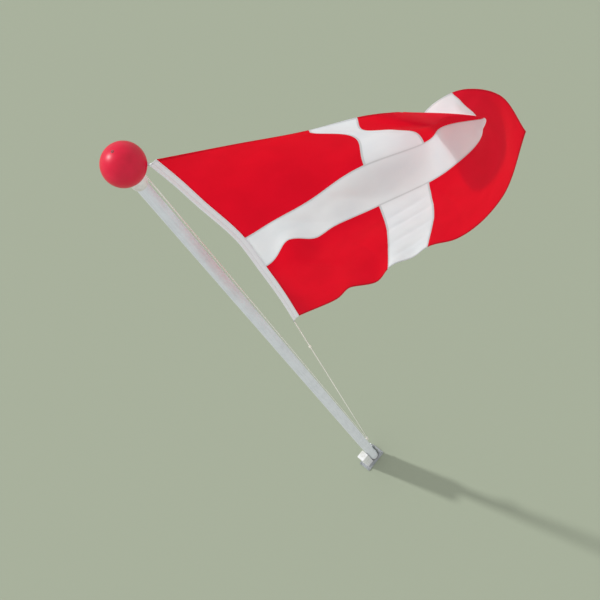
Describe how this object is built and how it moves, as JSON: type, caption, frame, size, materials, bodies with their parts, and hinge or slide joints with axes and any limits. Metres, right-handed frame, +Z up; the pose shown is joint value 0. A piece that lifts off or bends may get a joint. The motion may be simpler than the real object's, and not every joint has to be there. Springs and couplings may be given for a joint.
{
  "type": "flagpole",
  "caption": "Tapered white garden flagpole with a tilting foot, red ball, rope halyard and a red flag with a white cross blown out by the wind.",
  "frame": {"origin": "on the pole's axis at the underside of the base plate, at ground level", "axes": "+Z up the pole, +X along the hinge bolt towards the cheek plate, +Y the side that the mast is laid down to"},
  "size_m": [1.9326, 0.9336, 10.0855],
  "materials": {
    "galvanised_steel": "zinc coated",
    "white_paint": "gloss white",
    "stainless_steel": "turned",
    "glass_fibre": "white gel coat, slightly dulled",
    "timber": "plain",
    "truck_plastic": "white, moulded",
    "red_lacquer": "glossy red",
    "white_plastic": "white, moulded",
    "rope": "white braid",
    "canvas": "white woven band",
    "flag_cloth": "red with a white cross, woven"
  },
  "bodies": {
    "foot": {"base_plate": "galvanised_steel", "support_post": "white_paint", "post_cap": "white_paint", "cheek_plate": "galvanised_steel", "hinge_bolt": "stainless_steel", "hinge_nut": "stainless_steel"},
    "mast": {"pole": "glass_fibre", "foot_plug": "timber", "lock_bolt": "stainless_steel", "lock_nut": "stainless_steel", "truck": "truck_plastic", "sheave": "truck_plastic", "sheave_pin": "stainless_steel", "ball_spindle": "stainless_steel", "ball": "red_lacquer", "cleat": "white_plastic", "cleat_screws": "stainless_steel", "halyard": "rope", "halyard_hitch": "rope", "lower_line": "rope", "upper_snap": "stainless_steel", "lower_snap": "stainless_steel", "heading": "canvas", "flag": "flag_cloth"}
  },
  "joints": [
    {"name": "mast_tilt", "type": "hinge", "parent": "foot", "child": "mast", "pos_m": [0, 0, 0.15], "axis": [-1, 0, 0], "range_deg": [0, 88]}
  ]
}
